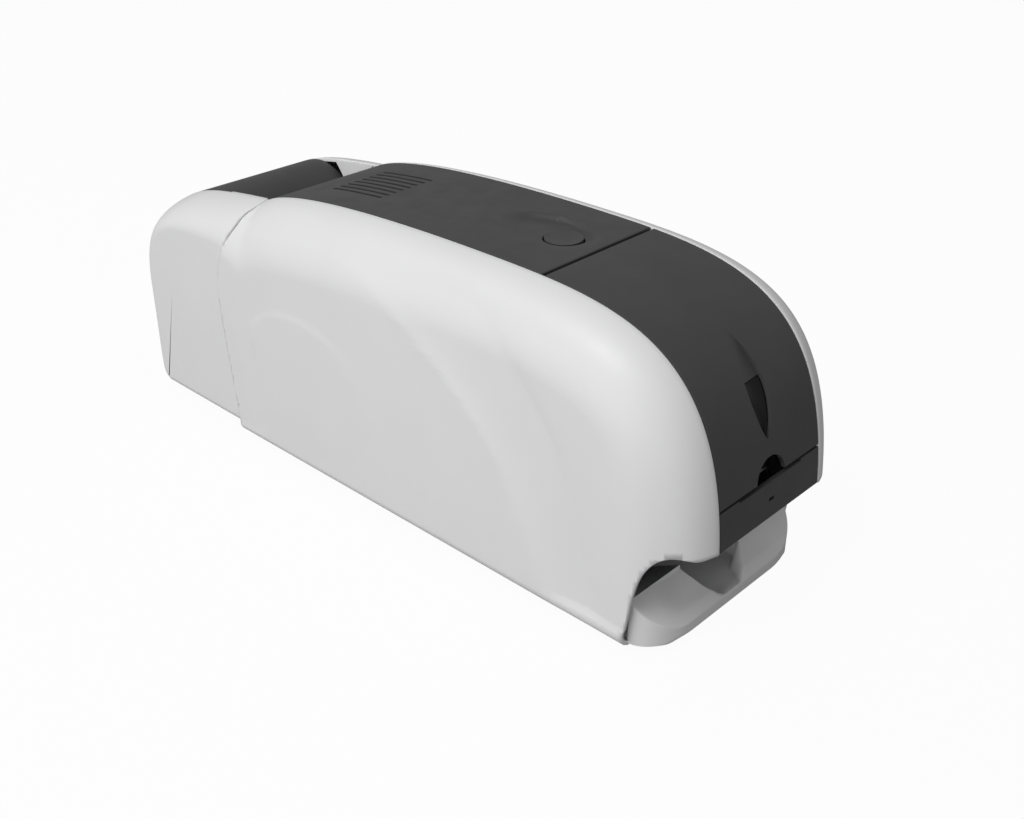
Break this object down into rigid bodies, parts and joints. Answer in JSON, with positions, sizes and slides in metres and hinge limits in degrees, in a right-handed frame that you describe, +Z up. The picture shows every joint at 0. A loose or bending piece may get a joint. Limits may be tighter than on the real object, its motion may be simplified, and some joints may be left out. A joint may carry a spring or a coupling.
{
  "type": "id card printer",
  "caption": "Desktop ID card printer: white side shells, dark hinged top and front covers, output tray under the front, rear card-turning module with its own lid.",
  "frame": {"origin": "centre of the footprint on the floor under the rubber feet (bounding box bottom centre)", "axes": "+X to the right of a viewer who faces the front, +Y from front to rear (the card slot faces -Y), +Z up"},
  "size_m": [0.173, 0.5188, 0.202],
  "materials": {
    "white_shell": "fine satin moulded ABS, off-white",
    "dark_cover": "satin anthracite moulded plastic",
    "gloss_key": "gloss black plastic",
    "dark_inner": "matte black moulded plastic",
    "sheet_steel": "zinc-plated sheet steel",
    "turned_steel": "bright turned steel",
    "aluminium": "extruded aluminium",
    "black_rubber": "matte black rubber",
    "blue_rubber": "tacky blue silicone rubber",
    "gear_plastic": "natural acetal",
    "bush_plastic": "tan acetal bush",
    "ribbon_film": "dark dye-coated film",
    "cassette": "grey moulded plastic",
    "board": "green circuit board",
    "ceramic": "glazed ceramic head"
  },
  "bodies": {
    "chassis": {"side_cover_left": "white_shell", "side_cover_right": "white_shell", "lower_bezel": "dark_cover", "base_pan": "sheet_steel", "rubber_feet": "black_rubber", "output_tray": "white_shell", "stacker_housing": "dark_inner", "chassis_plate_left": "sheet_steel", "chassis_plate_right": "sheet_steel", "cross_members": "sheet_steel", "roller_bearings": "bush_plastic", "card_guide": "dark_inner", "drive_belt": "black_rubber", "drive_bracket": "sheet_steel", "drive_motor": "sheet_steel", "gear_motors": "sheet_steel", "ribbon_cassette": "cassette", "ribbon_film": "ribbon_film", "hinge_pins": "turned_steel", "card_hopper": "dark_inner", "main_board": "board", "power_supply": "sheet_steel", "fan_frame": "dark_inner", "rear_side_cover_left": "white_shell", "rear_side_cover_right": "white_shell", "rear_panel": "white_shell", "rear_wall": "dark_inner", "module_base": "sheet_steel", "turner_frame": "sheet_steel", "power_inlet": "dark_inner", "data_ports": "turned_steel", "card_sensors": "dark_inner", "screws": "turned_steel"},
    "top_cover_body": {"top_cover": "dark_cover", "springs": "turned_steel", "head_bracket": "sheet_steel", "head_heat_sink": "aluminium", "print_head": "ceramic"},
    "release_button_body": {"release_button": "dark_cover"},
    "front_cover_body": {"front_cover": "dark_cover"},
    "control_button_body": {"control_button": "gloss_key"},
    "rear_lid_body": {"rear_lid": "dark_cover"},
    "feed_roller_body": {"feed_roller": "black_rubber"},
    "cleaning_roller_body": {"cleaning_roller": "blue_rubber"},
    "platen_body": {"platen_roller": "black_rubber"},
    "middle_transport_body": {"middle_transport_roller": "black_rubber"},
    "rear_transport_body": {"rear_transport_roller": "black_rubber"},
    "motor_pulley_body": {"motor_pulley": "turned_steel"},
    "pinch_middle_body": {"pinch_roller_middle": "black_rubber"},
    "pinch_rear_body": {"pinch_roller_rear": "black_rubber"},
    "supply_spool_body": {"ribbon_supply_spool": "cassette"},
    "takeup_spool_body": {"ribbon_takeup_spool": "cassette"},
    "ribbon_pinion_body": {"ribbon_motor_pinion": "gear_plastic"},
    "pusher_body": {"pusher_plate": "dark_inner"},
    "fan_body": {"cooling_fan": "dark_inner"},
    "cradle_body": {"turner_cradle": "dark_inner"},
    "turner_lower_body": {"turner_roller_lower": "black_rubber"},
    "turner_upper_body": {"turner_roller_upper": "black_rubber"},
    "turner_pinion_body": {"turner_motor_pinion": "gear_plastic"},
    "power_switch_body": {"power_switch": "dark_inner"}
  },
  "joints": [
    {"name": "top_cover_hinge", "type": "hinge", "parent": "chassis", "child": "top_cover_body", "pos_m": [0, 0.1205, 0.174], "axis": [-1, 0, 0], "range_deg": [0, 60]},
    {"name": "release_button_press", "type": "slide", "parent": "top_cover_body", "child": "release_button_body", "axis": [0, 0, -1], "range_m": [0, 0.0025], "stiffness_N_per_m": 400},
    {"name": "front_cover_hinge", "type": "hinge", "parent": "chassis", "child": "front_cover_body", "pos_m": [0, -0.1293, 0.198], "axis": [-1, 0, 0], "range_deg": [0, 50]},
    {"name": "control_button_press", "type": "slide", "parent": "front_cover_body", "child": "control_button_body", "axis": [0, 0.9292, -0.3697], "range_m": [0, 0.0009], "stiffness_N_per_m": 400},
    {"name": "rear_lid_hinge", "type": "hinge", "parent": "chassis", "child": "rear_lid_body", "pos_m": [0, 0.2569, 0.103], "axis": [-1, 0, 0], "range_deg": [0, 75]},
    {"name": "feed_roller_spin", "type": "hinge", "parent": "chassis", "child": "feed_roller_body", "pos_m": [0, -0.1575, 0.0904], "axis": [-1, 0, 0], "continuous": true},
    {"name": "cleaning_roller_spin", "type": "hinge", "parent": "chassis", "child": "cleaning_roller_body", "pos_m": [0, -0.1195, 0.0904], "axis": [-1, 0, 0], "continuous": true},
    {"name": "platen_spin", "type": "hinge", "parent": "chassis", "child": "platen_body", "pos_m": [0, -0.0435, 0.0894], "axis": [-1, 0, 0], "continuous": true},
    {"name": "middle_transport_spin", "type": "hinge", "parent": "chassis", "child": "middle_transport_body", "pos_m": [0, 0.0305, 0.0904], "axis": [-1, 0, 0], "continuous": true},
    {"name": "rear_transport_spin", "type": "hinge", "parent": "chassis", "child": "rear_transport_body", "pos_m": [0, 0.1125, 0.0904], "axis": [-1, 0, 0], "continuous": true},
    {"name": "motor_pulley_spin", "type": "hinge", "parent": "chassis", "child": "motor_pulley_body", "pos_m": [0, -0.0155, 0.0904], "axis": [-1, 0, 0], "continuous": true},
    {"name": "pinch_middle_spin", "type": "hinge", "parent": "chassis", "child": "pinch_middle_body", "pos_m": [0, 0.0305, 0.1035], "axis": [-1, 0, 0], "continuous": true},
    {"name": "pinch_rear_spin", "type": "hinge", "parent": "chassis", "child": "pinch_rear_body", "pos_m": [0, 0.1125, 0.1035], "axis": [-1, 0, 0], "continuous": true},
    {"name": "supply_spool_spin", "type": "hinge", "parent": "chassis", "child": "supply_spool_body", "pos_m": [0, -0.0935, 0.152], "axis": [-1, 0, 0], "continuous": true},
    {"name": "takeup_spool_spin", "type": "hinge", "parent": "chassis", "child": "takeup_spool_body", "pos_m": [0, -0.0015, 0.152], "axis": [-1, 0, 0], "continuous": true},
    {"name": "ribbon_pinion_spin", "type": "hinge", "parent": "chassis", "child": "ribbon_pinion_body", "pos_m": [0, 0.01011, 0.13343], "axis": [-1, 0, 0], "continuous": true},
    {"name": "pusher_lift", "type": "slide", "parent": "chassis", "child": "pusher_body", "axis": [0, 0, 1], "range_m": [0, 0.045]},
    {"name": "fan_spin", "type": "hinge", "parent": "chassis", "child": "fan_body", "pos_m": [0, 0.0645, 0.138], "axis": [1, 0, 0], "continuous": true},
    {"name": "turner_spin", "type": "hinge", "parent": "chassis", "child": "cradle_body", "pos_m": [0, 0.1945, 0.0979], "axis": [-1, 0, 0], "continuous": true},
    {"name": "turner_lower_roller_spin", "type": "hinge", "parent": "cradle_body", "child": "turner_lower_body", "pos_m": [0, 0.1945, 0.0912], "axis": [-1, 0, 0], "continuous": true},
    {"name": "turner_upper_roller_spin", "type": "hinge", "parent": "cradle_body", "child": "turner_upper_body", "pos_m": [0, 0.1945, 0.1046], "axis": [-1, 0, 0], "continuous": true},
    {"name": "turner_pinion_spin", "type": "hinge", "parent": "chassis", "child": "turner_pinion_body", "pos_m": [0, 0.18102, 0.07865], "axis": [-1, 0, 0], "continuous": true},
    {"name": "power_switch_rock", "type": "hinge", "parent": "chassis", "child": "power_switch_body", "pos_m": [0, 0.2495, 0.043], "axis": [-1, 0, 0], "range_deg": [-6, 6]}
  ],
  "couplings": [
    {"joint": "cleaning_roller_spin", "follows": "motor_pulley_spin", "ratio": 1},
    {"joint": "feed_roller_spin", "follows": "motor_pulley_spin", "ratio": 1},
    {"joint": "platen_spin", "follows": "motor_pulley_spin", "ratio": 1.1449},
    {"joint": "middle_transport_spin", "follows": "motor_pulley_spin", "ratio": 1},
    {"joint": "rear_transport_spin", "follows": "motor_pulley_spin", "ratio": 1},
    {"joint": "ribbon_pinion_spin", "follows": "takeup_spool_spin", "ratio": -2.8571},
    {"joint": "turner_pinion_spin", "follows": "turner_spin", "ratio": -3.1429},
    {"joint": "turner_upper_roller_spin", "follows": "turner_lower_roller_spin", "ratio": -1}
  ]
}
